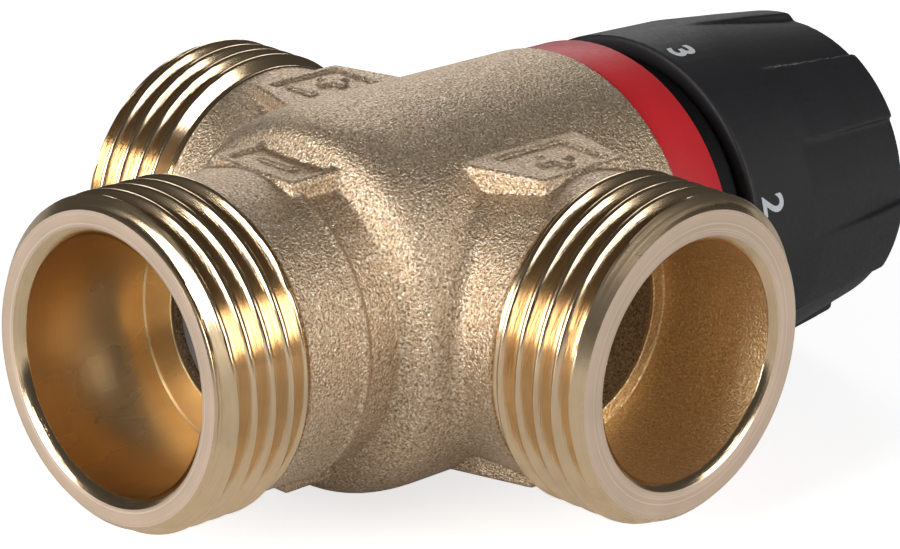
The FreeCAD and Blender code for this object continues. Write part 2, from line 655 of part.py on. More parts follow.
def wax_capsule():
    top = CAPSULE_SEAT_Y + CAPSULE_FLANGE
    solid = rod(CAPSULE_R, CAPSULE_LOW, CAPSULE_SEAT_Y + 0.5)
    solid = solid.makeFillet(1.0, rims_at(solid, CAPSULE_LOW))
    solid = solid.fuse([rod(CAPSULE_FLANGE_R, CAPSULE_SEAT_Y, top),
                        rod(CAPSULE_NOSE_R, top - 0.5, top + 0.8)])
    return solid.cut(rod(PISTON_R + SLIDE_GAP, PISTON_LOW - PISTON_ROOM, top + 2.0)).removeSplitter()


def capsule_clip():
    low = CAPSULE_SEAT_Y + CAPSULE_FLANGE + FACE_GAP
    return snap_ring(TUBE_IN_R + 0.4 - GROOVE_FLOOR, 4.2, low, low + CLIP_THICK, 50.0)


def element_piston():
    pin = rod(PISTON_R, PISTON_LOW, CUP_BOSS_LOW)
    return pin.makeFillet(0.4, rims_at(pin, CUP_BOSS_LOW))


def return_spring():
    return coil(RETURN_R, RETURN_WIRE, RETURN_TURNS, cold(COLD_SEAT_Y) + COLD_WALL, HOT_DISC_Y)


def placed(shape):
    """Copy moved so that the origin is on the ground under the middle of the part."""
    copy = shape.copy()
    copy.translate(V(0, (COLD_REACH - KNOB_TOP) / 2.0, max(BARREL_R, KNOB_LOW_R)))
    return copy


def main():
    os.makedirs("parts", exist_ok=True)
    pieces = {
        "valve_body": valve_body(),
        "colour_ring": colour_ring(),
        "stop_ring": stop_ring(),
        "control_knob": control_knob(),
        "knob_cover": knob_cover(),
        "knob_washer": knob_washer(),
        "knob_screw": knob_screw(),
        "bonnet": bonnet(),
        "bonnet_seal": bonnet_seal(),
        "spindle": spindle(),
        "spindle_seal_lower": spindle_seal(SPINDLE_SEAL_LOW),
        "spindle_seal_upper": spindle_seal(SPINDLE_SEAL_LOW + SPINDLE_SEAL_STEP),
        "spindle_clip": spindle_clip(),
        "thrust_washer": thrust_washer(),
        "setting_nut": setting_nut(),
        "cup_clip": cup_clip(),
        "spring_cup": spring_cup(),
        "overload_spring": overload_spring(),
        "shuttle": shuttle(),
        "shuttle_seal": shuttle_seal(),
        "hot_disc_seal": hot_disc_seal(),
        "cold_disc": cold_disc(),
        "cold_disc_seal": cold_disc_seal(),
        "cold_disc_nut": cold_disc_nut(),
        "wax_capsule": wax_capsule(),
        "capsule_clip": capsule_clip(),
        "element_piston": element_piston(),
        "return_spring": return_spring(),
    }
    for name, shape in pieces.items():
        solids = shape.Solids
        if len(solids) != 1 or not solids[0].isValid():
            raise RuntimeError("%s has %d solids" % (name, len(solids)))
        placed(solids[0]).exportStep("parts/%s.step" % name)
        print("%-20s %9.1f mm3" % (name, solids[0].Volume))


main()
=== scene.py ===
import json
import math
from collections import namedtuple

import bmesh
import bpy
from mathutils import Matrix, Vector


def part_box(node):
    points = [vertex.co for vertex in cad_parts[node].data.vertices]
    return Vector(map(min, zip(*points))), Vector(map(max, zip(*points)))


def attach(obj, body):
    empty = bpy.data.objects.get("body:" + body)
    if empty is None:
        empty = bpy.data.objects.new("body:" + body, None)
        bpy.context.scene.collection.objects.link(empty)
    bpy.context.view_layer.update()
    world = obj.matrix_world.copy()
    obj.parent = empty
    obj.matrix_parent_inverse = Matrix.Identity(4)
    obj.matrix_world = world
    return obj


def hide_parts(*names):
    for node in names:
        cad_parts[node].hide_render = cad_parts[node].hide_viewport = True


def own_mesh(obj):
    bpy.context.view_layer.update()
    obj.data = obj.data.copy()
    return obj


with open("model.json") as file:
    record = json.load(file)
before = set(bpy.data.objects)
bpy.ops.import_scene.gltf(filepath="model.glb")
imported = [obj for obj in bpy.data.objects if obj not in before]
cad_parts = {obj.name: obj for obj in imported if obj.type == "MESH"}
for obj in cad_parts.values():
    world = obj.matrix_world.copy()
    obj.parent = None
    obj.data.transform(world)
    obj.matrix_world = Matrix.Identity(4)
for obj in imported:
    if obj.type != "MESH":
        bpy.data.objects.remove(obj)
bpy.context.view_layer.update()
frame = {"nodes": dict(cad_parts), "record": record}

bl_info = {
    "name": "Mixing Valve Dressing",
    "version": (1, 0, 0),
    "blender": (4, 5, 0),
    "location": "View3D > Sidebar > Valve",
    "description": "Finishes a thermostatic mixing valve with threads, cast surfaces, digits and springs",
    "category": "Object",
}

MM = 0.001
BODY_LOW, BODY_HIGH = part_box("valve_body")
RETURN_LOW, RETURN_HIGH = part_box("return_spring")
OVERLOAD_LOW, OVERLOAD_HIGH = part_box("overload_spring")
AXIS_Z = (BODY_LOW.z + BODY_HIGH.z) / 2.0
SIDE_REACH = (BODY_HIGH.x - BODY_LOW.x) / 2.0 / MM
COLD_REACH = 43.2
AXIS_Y = BODY_LOW.y + COLD_REACH * MM

# Sizes in millimetres. Depth is measured into the body from a port's face, and the rest along the spindle
# from the point where the ports' axes cross.
CREST_R = 16.62
ROOT_R = 15.15
PITCH = 2.309
NOSE_LEN = 11.6
THREAD_CHAMFER = 1.36
FACE_R = CREST_R - THREAD_CHAMFER
THREAD_ROUND = 0.317
FLANK_ANGLE = 62.5
THREAD_START = 0.55
COLUMNS = 240
COLD_TAIL_R = 15.65
SIDE_TAIL_R = 15.55

Bore = namedtuple("Bore", "radius depth floor_r chamfer")
COLD_BORE = Bore(12.7, 15.9, 8.8, 0.9)
SIDE_BORE = Bore(12.0, 14.3, 10.5, 0.7)
LINING = 0.5
LAP = 0.05
CLEAR_R = 18.0

# Rooms of the casting: radius and place along the spindle.
HOLLOW_R = 16.2
BONNET_R = 15.0
COLD_SEAT = (-23.8, -21.0)
SEAT_R = 6.25
SPIDER = (-20.8, -17.2)
GUIDE = (-3.2, 0.3)
GUIDE_R = 10.8
BONNET_SEAT = 11.3
WINDOW_R = 10.5
WINDOW_DEPTH = (14.5, 21.6)
WINDOW_LAND = 0.8

SIGN_TOP = 16.0
SIGN_HEIGHT = 1.2
SIGN_WIDTH = 0.95

RETURN_COIL = (9.0, 0.6, 6.5)
OVERLOAD_COIL = (0.5, 3.5)
SHUTTLE_TRAVEL = 2.8
CUP_TRAVEL = 2.0

KNOB_WALL = ((28.5, 19.2), (40.0, 18.85), (49.0, 17.95))
DIGIT_LOW = 29.9
DIGIT_TURN = 15.0
DIGIT_STEP = 60.0
DIGIT_DEPTH = 0.12
DIGIT_SUNK = 0.09

# Metres and degrees, the camera from the point where the ports' axes cross.
LENS = 150.210
CAMERA_PLACE = (0.25040873, -0.25734573, 0.12701133)
CAMERA_TURN = (70.44869, -1.91073, 44.57284)
LAMPS = (("key", (-0.08, -0.90, 0.34), (0.60, 0.42), 9.3),
         ("side", (0.86, 0.24, 0.40), (0.55, 0.42), 5.3),
         ("far", (-0.70, 0.60, 0.45), (0.50, 0.40), 1.8))
WHITE = (1.0, 1.0, 1.0, 1.0)


def mount_turn(across, depth):
    """Matrix from millimetres about local Z to the row frame, local X and Z laid along the given ways."""
    across, depth = Vector(across), Vector(depth)
    turn = Matrix((across, depth.cross(across), depth)).transposed().to_4x4()
    return Matrix.Translation((0.0, AXIS_Y, AXIS_Z)) @ turn @ Matrix.Scale(MM, 4)


SPINDLE = mount_turn((1, 0, 0), (0, 1, 0))
PORTS = {
    "cold_nose": mount_turn((1, 0, 0), (0, 1, 0)) @ Matrix.Translation((0, 0, -COLD_REACH)),
    "hot_nose": mount_turn((0, 1, 0), (-1, 0, 0)) @ Matrix.Translation((0, 0, -SIDE_REACH)),
    "mixed_nose": mount_turn((0, 1, 0), (1, 0, 0)) @ Matrix.Translation((0, 0, -SIDE_REACH)),
}


class Wire:
    """Output socket that Python's operators work on."""

    def __init__(self, nodes, socket):
        self.nodes = nodes
        self.socket = socket

    def math(self, operation, first, second):
        return self.nodes.add("ShaderNodeMath", {0: first, 1: second}, operation=operation)

    def __add__(self, other):
        return self.math("ADD", self, other)

    def __sub__(self, other):
        return self.math("SUBTRACT", self, other)

    def __rsub__(self, other):
        return self.math("SUBTRACT", other, self)

    def __mul__(self, other):
        return self.math("MULTIPLY", self, other)

    __radd__ = __add__
    __rmul__ = __mul__


class Nodes:
    """Node tree being filled."""

    def __init__(self, tree):
        self.tree = tree
        tree.nodes.clear()

    def add(self, kind, sockets=None, out=0, **settings):
        """Node of a kind with its settings, then the values or links of its sockets."""
        node = self.tree.nodes.new(kind)
        for key, value in settings.items():
            setattr(node, key, value)
        for key, value in (sockets or {}).items():
            if isinstance(value, Wire):
                self.tree.links.new(value.socket, node.inputs[key])
            elif value is not None:
                node.inputs[key].default_value = value
        return Wire(self, node.outputs[out]) if node.outputs else None

    def spread(self, wire, low, high, first=0.0, last=1.0):
        """Values between low and high spread from first to last, and held there beyond."""
        return self.add("ShaderNodeMapRange", {0: wire, 1: low, 2: high, 3: first, 4: last}, clamp=True)

    def ray(self, kind):
        """One for rays of a kind, and nought for all others."""
        return self.add("ShaderNodeLightPath", out="Is %s Ray" % kind)


class Finish(Nodes):
    """Material under construction."""

    def __init__(self, name):
        self.material = bpy.data.materials.new(name)
        self.material.use_nodes = True
        super().__init__(self.material.node_tree)
        self.place = self.add("ShaderNodeTexCoord", out="Object")

    def mapped(self, scale):
        """Object coordinates in metres from the point where the ports' axes cross, stretched by a scale."""
        centred = self.add("ShaderNodeMapping", {"Vector": self.place, "Location": (0.0, -AXIS_Y, -AXIS_Z)},
                           vector_type="POINT")
        return self.add("ShaderNodeMapping", {"Vector": centred, "Scale": scale}, vector_type="POINT")

    def grain(self, scale, detail=2.0, rough=0.5, place=None):
        """Noise in three dimensions."""
        sockets = {"Vector": place or self.place, "Scale": scale, "Detail": detail, "Roughness": rough}
        return self.add("ShaderNodeTexNoise", sockets, noise_dimensions="3D")

    def tint(self, factor, first, last):
        """Mix of two colours."""
        return self.add("ShaderNodeMix", {0: factor, 6: first, 7: last}, 2, data_type="RGBA")

    def bump(self, height, strength, distance, normal=None):
        return self.add("ShaderNodeBump", {"Height": height, "Strength": strength, "Distance": distance,
                                           "Normal": normal})

    def done(self, color, rough, metal=0.0, normal=None, specular=0.5):
        """The material, ended by a shader of these values."""
        shader = self.add("ShaderNodeBsdfPrincipled", {
            "Base Color": color, "Roughness": rough, "Metallic": metal, "Normal": normal,
            "Specular IOR Level": specular})
        self.add("ShaderNodeOutputMaterial", {"Surface": shader})
        return self.material


def rgb(color):
    """Opaque form of a colour."""
    return (color[0], color[1], color[2], 1.0)


def darker(color, share):
    """Opaque form of a colour at a share of its brightness."""
    return (color[0] * share, color[1] * share, color[2] * share, 1.0)


def cast_brass(look):
    """Brass cast in sand and blasted: a matt metal skin of fine grains, its colour carrying dark specks as
    painted shade in the pits and near-white specks as painted glints.
    """
    f = Finish("cast_brass")
    speck = f.grain(3900.0, 2.0, 0.62)
    cloud = f.grain(140.0, 3.0, 0.6)
    base = f.tint(f.spread(cloud, 0.35, 0.68), rgb(look.cast), darker(look.cast, 0.88))
    # Dark specks: painted shade in the pits of the blasted skin.
    base = f.tint(f.spread(speck, 0.33, 0.47, 0.80, 0.0), base, darker(look.cast, 0.26))
    # Near-white specks: painted glints on the blasted grains.
    base = f.tint(f.spread(speck, 0.54, 0.66, 0.0, 0.80), base, (0.98, 0.91, 0.79, 1.0))
    rough = f.spread(speck, 0.35, 0.65, 0.52, 0.34)
    pits = f.bump(f.grain(1300.0, 2.0, 0.6), 0.40, 0.00016)
    lumps = f.bump(speck, 1.0, 0.00019, pits)
    normal = f.bump(cloud, 0.34, 0.0005, lumps)
    return f.done(base, rough, 0.92, normal)


def blasted_bore(look):
    """The side ports' bores: golden brass with a close blasted grain, its colour carrying dark specks as
    painted shade in the pits and near-white specks as painted glints.
    """
    f = Finish("blasted_bore")
    speck = f.grain(3600.0, 2.0, 0.65)
    # Dark specks: painted shade in the pits of the blasted bore.
    base = f.tint(f.spread(speck, 0.32, 0.46, 0.45, 0.0), rgb(look.bored), darker(look.bored, 0.40))
    # Near-white specks: painted glints on the blasted grains.
    base = f.tint(f.spread(speck, 0.56, 0.64, 0.0, 0.90), base, (1.0, 0.88, 0.64, 1.0))
    rough = f.spread(speck, 0.35, 0.65, 0.46, 0.34)
    return f.done(base, rough, 0.95, f.bump(speck, 1.0, 0.00016))


def turned_brass(name, look, stretch, fine=90.0, marks=0.32, dull=0.0):
    """Brass cut on a lathe: fine rings across a port's axis and soft brown stains."""
    f = Finish(name)
    drawn = f.mapped(tuple(100.0 / share for share in stretch))
    rings = f.grain(fine, 3.0, 0.65, drawn)
    slow_tone = f.grain(95.0, 4.0, 0.62)
    base = f.tint(f.spread(slow_tone, 0.42, 0.72), rgb(look.turned), darker(look.turned, 0.78))
    base = f.tint(f.spread(rings, 0.40, 0.75, 0.0, 0.25), base, (0.95, 0.84, 0.66, 1.0))
    rough = f.spread(slow_tone, 0.3, 0.7, 0.12 + dull, 0.22 + dull)
    return f.done(base, rough, 1.0, f.bump(rings, marks, 0.00006))


def bored_brass(look):
    """Brass bored on a lathe: close rings that draw every reflection out along the bore, and darker streaks
    along the bore's axis that are painted reflection bands.
    """
    f = Finish("bored_brass")
    rings = f.grain(90.0, 2.0, 0.5, f.mapped((0.02, 80.0, 0.02)))
    # Noise drawn out along the bore's axis: darker streaks that are painted reflection bands.
    slow_tone = f.grain(120.0, 3.0, 0.6, f.mapped((1.0, 0.35, 1.0)))
    # Painted reflection bands: the base colour darkens along the streaks.
    base = f.tint(f.spread(slow_tone, 0.40, 0.70), rgb(look.bored), darker(look.bored, 0.80))
    base = f.tint(f.spread(rings, 0.45, 0.75, 0.0, 0.30), base, (0.92, 0.76, 0.52, 1.0))
    rough = f.spread(slow_tone, 0.3, 0.7, 0.25, 0.34)
    return f.done(base, rough, 1.0, f.bump(rings, 1.0, 0.000012))


def faced_brass(name, look, across):
    """A flat sealing face: pale brass with the close rings of the facing cut."""
    f = Finish(name)
    out = f.add("ShaderNodeVectorMath", {0: f.mapped(across)}, 1, operation="LENGTH")
    rings = f.add("ShaderNodeTexNoise", {"W": out, "Scale": 5200.0, "Detail": 2.0}, noise_dimensions="1D")
    cloud = f.grain(160.0, 2.0, 0.5)
    base = f.tint(f.spread(cloud, 0.35, 0.65), rgb(look.faced), darker(look.faced, 0.90))
    base = f.tint(f.spread(rings, 0.40, 0.70, 0.0, 0.35), base, (0.98, 0.90, 0.80, 1.0))
    rough = f.spread(rings, 0.3, 0.7, 0.32, 0.46)
    return f.done(base, rough, 0.85, f.bump(rings, 0.5, 0.00003))


def plastic(name, color, rough, texture=0.12, specular=0.4):
    """Moulded plastic with a finely spark-eroded skin."""
    f = Finish(name)
    fine = f.grain(1700.0, 3.0, 0.6)
    cloud = f.grain(120.0, 2.0, 0.5)
    base = f.tint(f.spread(cloud, 0.35, 0.65), rgb(color), darker(color, 0.88))
    varied = f.spread(fine, 0.3, 0.7, rough - 0.05, rough + 0.06)
    return f.done(base, varied, 0.0, f.bump(fine, texture, 0.00008), specular=specular)


def steel(look):
    """Bright spring steel with a faint grain."""
    f = Finish("steel")
    fine = f.grain(1400.0, 2.0, 0.5)
    base = f.tint(f.spread(fine, 0.35, 0.65), rgb(look.steel), darker(look.steel, 0.8))
    return f.done(base, f.spread(fine, 0.3, 0.7, 0.24, 0.36), 1.0, f.bump(fine, 0.05, 0.00005))


def printed(look):
    """Pale matt ink."""
    f = Finish("digit_paint")
    fine = f.grain(1800.0, 2.0, 0.5)
    base = f.tint(f.spread(fine, 0.35, 0.65), rgb(look.digits), darker(look.digits, 0.94))
    return f.done(base, 0.55)


def turned(section, columns=144):
    """Closed shell from a section of radius and distance along the axis, turned about Z."""
    shell = bmesh.new()
    corners = [shell.verts.new((radius, 0.0, along)) for radius, along in section]
    lines = [shell.edges.new(pair) for pair in zip(corners, corners[1:] + corners[:1])]
    bmesh.ops.spin(shell, geom=corners + lines, cent=(0, 0, 0), axis=(0, 0, 1), angle=math.tau,
                   steps=columns, use_merge=True)
    tidy(shell)
    return shell


def tidy(shell, gap=0.0004):
    """Merges what lies within a gap and turns the faces outwards."""
    bmesh.ops.remove_doubles(shell, verts=shell.verts, dist=gap)
    bmesh.ops.dissolve_degenerate(shell, edges=shell.edges, dist=gap / 10.0)
    bmesh.ops.recalc_face_normals(shell, faces=shell.faces)


def solid_only(shell, gap, least=12):
    """Triangles without flat scraps of a few faces, turned outwards."""
    bmesh.ops.remove_doubles(shell, verts=shell.verts, dist=gap)
    bmesh.ops.triangulate(shell, faces=shell.faces)
    bmesh.ops.dissolve_degenerate(shell, edges=shell.edges, dist=gap)
    left = set(shell.faces)
    scraps = []
    while left:
        group = [left.pop()]
        for face in group:
            for edge in face.edges:
                if len(edge.link_faces) == 2:
                    for other in edge.link_faces:
                        if other in left:
                            left.remove(other)
                            group.append(other)
        if len(group) < least:
            scraps += group
    bmesh.ops.delete(shell, geom=scraps, context="FACES")
    if shell.calc_volume(signed=True) < 0.0:
        bmesh.ops.reverse_faces(shell, faces=shell.faces)


def rounded(shell, width, segments):
    """Rounds the ring edges of a turned shell."""
    sharp = [e for e in shell.edges if len(e.link_faces) == 2 and e.calc_face_angle() > math.radians(30.0)]
    bmesh.ops.bevel(shell, geom=sharp, offset=width, offset_type="OFFSET", segments=segments, profile=0.5,
                    affect="EDGES", material=-1, clamp_overlap=True)
    bmesh.ops.recalc_face_normals(shell, faces=shell.faces)


def piece(name, shell, finishes, place, body, stands_for=(), crease=32.0):
    """Object from a shell and the matrix of its place, riding on a body."""
    if place is not None:
        bmesh.ops.transform(shell, matrix=place, verts=shell.verts)
    for face in shell.faces:
        face.smooth = True
    limit = math.radians(crease)
    for edge in shell.edges:
        edge.smooth = len(edge.link_faces) == 2 and edge.calc_face_angle() < limit
    mesh = bpy.data.meshes.new(name)
    shell.to_mesh(mesh)
    shell.free()
    made = bpy.data.objects.new(name, mesh)
    bpy.context.scene.collection.objects.link(made)
    for finish in finishes:
        mesh.materials.append(finish)
    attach(made, body)
    if stands_for:
        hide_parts(*stands_for)
    return made


def cad_copy(node):
    """Closed copy of a node's mesh, in metres in the row frame."""
    shell = bmesh.new()
    shell.from_mesh(frame["nodes"][node].data)
    bmesh.ops.remove_doubles(shell, verts=shell.verts, dist=0.000002)
    return shell


def with_modifiers(mesh, steps):
    """Mesh after a list of modifiers, each a kind and its settings."""
    holder = bpy.data.objects.new("holder", mesh)
    bpy.context.scene.collection.objects.link(holder)
    for kind, settings in steps:
        modifier = holder.modifiers.new(kind.lower(), kind)
        for key, value in settings.items():
            setattr(modifier, key, value)
    evaluated = holder.evaluated_get(bpy.context.evaluated_depsgraph_get())
    result = bpy.data.meshes.new_from_object(evaluated)
    bpy.data.objects.remove(holder)
    return result


def moulded(shell, grid, passes, budget):
    """Shell with its edges softened as moulding or casting leaves them, thinned to a number of triangles."""
    mesh = bpy.data.meshes.new("moulded")
    shell.to_mesh(mesh)
    shell.free()
    mesh = with_modifiers(mesh, [
        ("REMESH", {"mode": "VOXEL", "voxel_size": grid * MM, "adaptivity": 0.0}),
        ("SMOOTH", {"factor": 0.5, "iterations": passes}),
    ])
    faces = 2 * len(mesh.polygons)
    if faces > budget:
        mesh = with_modifiers(mesh, [("DECIMATE", {"ratio": budget / faces})])
    return mesh


def joined(shells):
    """One shell out of several, each with its matrix."""
    whole = bmesh.new()
    for shell, place in shells:
        if place is not None:
            bmesh.ops.transform(shell, matrix=place, verts=shell.verts)
        mesh = bpy.data.meshes.new("part")
        shell.to_mesh(mesh)
        shell.free()
        whole.from_mesh(mesh)
        bpy.data.meshes.remove(mesh)
    return whole


def raised_bar(x, y, length, turn, side):
    """Bar of a cast sign on a pad's panel."""
    bar = bmesh.new()
    bmesh.ops.create_cube(bar, size=1.0)
    place = (Matrix.Translation((0.0, AXIS_Y, AXIS_Z)) @ Matrix.Scale(MM, 4)
             @ Matrix.Translation((x, y, side * (SIGN_TOP - SIGN_HEIGHT / 2.0)))
             @ Matrix.Rotation(math.radians(turn), 4, "Z")
             @ Matrix.Diagonal((length, SIGN_WIDTH, SIGN_HEIGHT, 1.0)))
    return bar, place


def signs():
    """Generic cast signs: plus, minus and both together, each bar by its middle, length and turn."""
    strokes = ((16.4, 0.0, 4.2, 0.0), (16.4, 0.0, 4.2, 90.0), (0.0, -21.4, 4.6, 0.0),
               (-16.4, 1.5, 3.6, 0.0), (-16.4, 1.5, 3.6, 90.0), (-16.4, -2.9, 3.6, 0.0))
    return [raised_bar(*stroke, side) for stroke in strokes for side in (1.0, -1.0)]


def body_filling():
    """Shells that fill the waterways, so that only the outside of the body is remeshed."""
    low = 0.4 - COLD_REACH
    core = turned([(0.0, low), (12.9, low), (12.9, -24.0), (14.2, -19.0), (16.5, -15.0), (16.5, 12.0),
                   (15.3, 15.0), (15.3, 22.9), (0.0, 22.9)])
    sides = turned([(0.0, -SIDE_REACH + 0.4), (12.2, -SIDE_REACH + 0.4), (12.2, SIDE_REACH - 0.4),
                    (0.0, SIDE_REACH - 0.4)])
    return [(core, SPINDLE), (sides, mount_turn((0, 1, 0), (1, 0, 0)))]


def body_hollows():
    """Shells of everything the cast body is hollow by, and of the places that the noses take."""
    bore_r = COLD_BORE.radius + LINING - LAP
    floor = COLD_BORE.depth - COLD_REACH + LINING - LAP
    nose_end = NOSE_LEN - COLD_REACH
    cold = turned([(0.0, -COLD_REACH - 1.0), (CLEAR_R, -COLD_REACH - 1.0), (CLEAR_R, nose_end),
                   (bore_r, nose_end), (bore_r, floor), (COLD_BORE.floor_r, floor),
                   (COLD_BORE.floor_r, COLD_SEAT[0]),
                   (SEAT_R, COLD_SEAT[0]), (SEAT_R, COLD_SEAT[1]), (12.0, SPIDER[0]), (12.0, SPIDER[1]),
                   (HOLLOW_R, -15.7), (HOLLOW_R, GUIDE[0]), (GUIDE_R, GUIDE[0]), (GUIDE_R, GUIDE[1]),
                   (HOLLOW_R, GUIDE[1]), (HOLLOW_R, BONNET_SEAT), (BONNET_R, BONNET_SEAT), (BONNET_R, 24.0),
                   (0.0, 24.0)])
    inner = SIDE_BORE.radius + LINING - LAP
    seat = SIDE_BORE.depth + LINING - LAP
    side = [(0.0, -1.0), (CLEAR_R, -1.0), (CLEAR_R, NOSE_LEN), (inner, NOSE_LEN), (inner, seat), (0.0, seat)]
    sides = [(turned(side), PORTS[name]) for name in ("hot_nose", "mixed_nose")]
    hot = window(GUIDE[1] + WINDOW_LAND, 30.0, 1.0)
    mixed = window(-30.0, GUIDE[0] - WINDOW_LAND, -1.0)
    return [(cold, SPINDLE)] + sides + [hot, mixed]


def window(low, high, side):
    """Half-round window from a side port into the room behind it."""
    near, far = WINDOW_DEPTH
    shell = turned([(0.0, near), (WINDOW_R, near), (WINDOW_R, far), (0.0, far)], 96)
    bmesh.ops.transform(shell, matrix=mount_turn((0, 1, 0), (side, 0, 0)), verts=shell.verts)
    for level, way in ((low, -1.0), (high, 1.0)):
        cut = bmesh.ops.bisect_plane(shell, geom=shell.verts[:] + shell.edges[:] + shell.faces[:],
                                     plane_co=(0.0, AXIS_Y + level * MM, 0.0), plane_no=(0.0, way, 0.0),
                                     clear_outer=True)
        rim = [e for e in cut["geom_cut"] if isinstance(e, bmesh.types.BMEdge)]
        if rim:
            bmesh.ops.triangle_fill(shell, edges=rim, use_beauty=True)
    return shell, None


def carve(mesh, shells):
    """Mesh with closed shells cut out of it one after the other."""
    for shell, place in shells:
        if place is not None:
            bmesh.ops.transform(shell, matrix=place, verts=shell.verts)
        bmesh.ops.recalc_face_normals(shell, faces=shell.faces)
        tool_mesh = bpy.data.meshes.new("cutter")
        shell.to_mesh(tool_mesh)
        shell.free()
        tool = bpy.data.objects.new("cutter", tool_mesh)
        bpy.context.scene.collection.objects.link(tool)
        mesh = with_modifiers(mesh, [("BOOLEAN", {"operation": "DIFFERENCE", "solver": "MANIFOLD",
                                                  "object": tool})])
        bpy.data.objects.remove(tool)
    return mesh


def pitch_section():
    """Distance along the axis and radius of one pitch of the thread, from crest to crest."""
    flank = math.radians(FLANK_ANGLE)
    half = PITCH / 2.0
    angles = [flank * i / 3.0 for i in range(4)]
    crest = [(THREAD_ROUND * math.sin(a), CREST_R - THREAD_ROUND * (1.0 - math.cos(a))) for a in angles]
    root = [(half - x, CREST_R + ROOT_R - r) for x, r in reversed(crest)]
    (x0, r0), (x1, r1) = crest[-1], root[0]
    wall = [(x0 + (x1 - x0) * i / 6.0, r0 + (r1 - r0) * i / 6.0) for i in range(1, 6)]
    down = crest + wall + root
    return down + [(PITCH - x, r) for x, r in reversed(down[1:-1])]


def thread(length, tail_r):
    """Screw thread about Z: a section turned once while it advances by a pitch, then faced and run out."""
    shell = bmesh.new()
    section = pitch_section()
    points = []
    for turn in range(-1, int(length / PITCH) + 2):
        for along, radius in section:
            points.append(shell.verts.new((radius, 0.0, turn * PITCH + along - THREAD_START)))
    lines = [shell.edges.new(pair) for pair in zip(points, points[1:])]
    bmesh.ops.spin(shell, geom=points + lines, cent=(0, 0, 0), axis=(0, 0, 1), angle=math.tau,
                   dvec=(0.0, 0.0, PITCH / COLUMNS), steps=COLUMNS, use_merge=False)
    for vert in shell.verts:
        radius = math.hypot(vert.co.x, vert.co.y)
        along = min(length, max(0.0, vert.co.z))
        cone = FACE_R + along
        start = min(1.0, max(0.0, (along - 0.15) / 0.5))
        new_r = cone - max(0.0, cone - radius) * start
        fade = min(1.0, max(0.0, (along - (length - 1.1)) / 0.9))
        new_r = new_r + (tail_r - new_r) * fade
        vert.co = (vert.co.x * new_r / radius, vert.co.y * new_r / radius, along)
    bmesh.ops.remove_doubles(shell, verts=shell.verts, dist=0.002)
    return shell


def nose(name, bore, tail_r, finishes):
    """Threaded end of a port. Its finishes are those of the thread, sealing face, bore and outer chamfer."""
    outside = thread(NOSE_LEN, tail_r)
    radius, depth, floor_r, chamfer = bore
    inner = radius + LINING
    inside = bmesh.new()
    section = [(FACE_R, 0.0), (FACE_R - 0.12, 0.0), (radius + chamfer + 0.14, 0.0), (radius + chamfer, 0.05),
               (radius + 0.05, chamfer - 0.05), (radius, chamfer + 0.1), (radius, depth - 0.15),
               (radius - 0.15, depth), (floor_r + 0.1, depth), (floor_r, depth + 0.1),
               (floor_r, depth + LINING), (inner, depth + LINING), (inner, NOSE_LEN), (tail_r, NOSE_LEN)]
    corners = [inside.verts.new((r, 0.0, along)) for r, along in section]
    lines = [inside.edges.new(pair) for pair in zip(corners, corners[1:])]
    bmesh.ops.spin(inside, geom=corners + lines, cent=(0, 0, 0), axis=(0, 0, 1), angle=math.tau,
                   steps=COLUMNS, use_merge=False)
    whole = joined([(outside, None), (inside, None)])
    tidy(whole, 0.003)
    for face in whole.faces:
        middle = face.calc_center_median()
        out = math.hypot(middle.x, middle.y)
        if abs(face.normal.z) > 0.9 and middle.z < 0.2:
            face.material_index = 1
        elif out < radius + 0.1 and middle.z > chamfer + 0.3:
            face.material_index = 2
        elif middle.z < THREAD_CHAMFER and abs(out - FACE_R - middle.z) < 0.12:
            face.material_index = 3
    piece(name, whole, finishes, PORTS[name], "body", ("valve_body",), 40.0)


def coil(name, node, wire, low, high, finish, body):
    """Compression spring about the spindle, its wire turned along a helix."""
    mean_r, wire_r, turns = wire
    ring = bmesh.new()
    made = bmesh.ops.create_circle(ring, cap_ends=True, radius=wire_r, segments=14)
    turn = Matrix.Translation((mean_r, 0.0, low + wire_r)) @ Matrix.Rotation(math.radians(90.0), 4, "X")
    bmesh.ops.transform(ring, matrix=turn, verts=made["verts"])
    steps = int(turns * 48)
    rise = (high - low - 2.0 * wire_r) / steps
    bmesh.ops.spin(ring, geom=ring.faces[:], cent=(0, 0, 0), axis=(0, 0, 1),
                   angle=math.tau * turns, dvec=(0.0, 0.0, rise), steps=steps, use_merge=False)
    bmesh.ops.recalc_face_normals(ring, faces=ring.faces)
    return piece(name, ring, [finish], SPINDLE, body, (node,), 60.0)


def axis_mm(value):
    """Place along the spindle in millimetres from the ports' axes."""
    return (value - AXIS_Y) / MM


def digit_mesh(sign, size):
    """Filled outline of a digit in millimetres, its foot at nought and its middle above it."""
    curve = bpy.data.curves.new("digit", "FONT")
    curve.body = sign
    curve.size = size
    curve.align_x = "CENTER"
    curve.resolution_u = 10
    curve.offset = 0.10
    holder = bpy.data.objects.new("digit", curve)
    bpy.context.scene.collection.objects.link(holder)
    evaluated = holder.evaluated_get(bpy.context.evaluated_depsgraph_get())
    mesh = bpy.data.meshes.new_from_object(evaluated)
    bpy.data.objects.remove(holder)
    shell = bmesh.new()
    shell.from_mesh(mesh)
    bmesh.ops.remove_doubles(shell, verts=shell.verts, dist=0.001)
    xs = [v.co.x for v in shell.verts]
    bmesh.ops.translate(shell, vec=(-(min(xs) + max(xs)) / 2.0, 0.0, 0.0), verts=shell.verts)
    return shell


def knob_radius(along):
    """Radius of the knob's plain wall at a distance along the spindle."""
    (low, low_r), (waist, waist_r), (top, top_r) = KNOB_WALL
    if along <= waist:
        return low_r + (waist_r - low_r) * (along - low) / (waist - low)
    return waist_r + (top_r - waist_r) * (along - waist) / (top - waist)


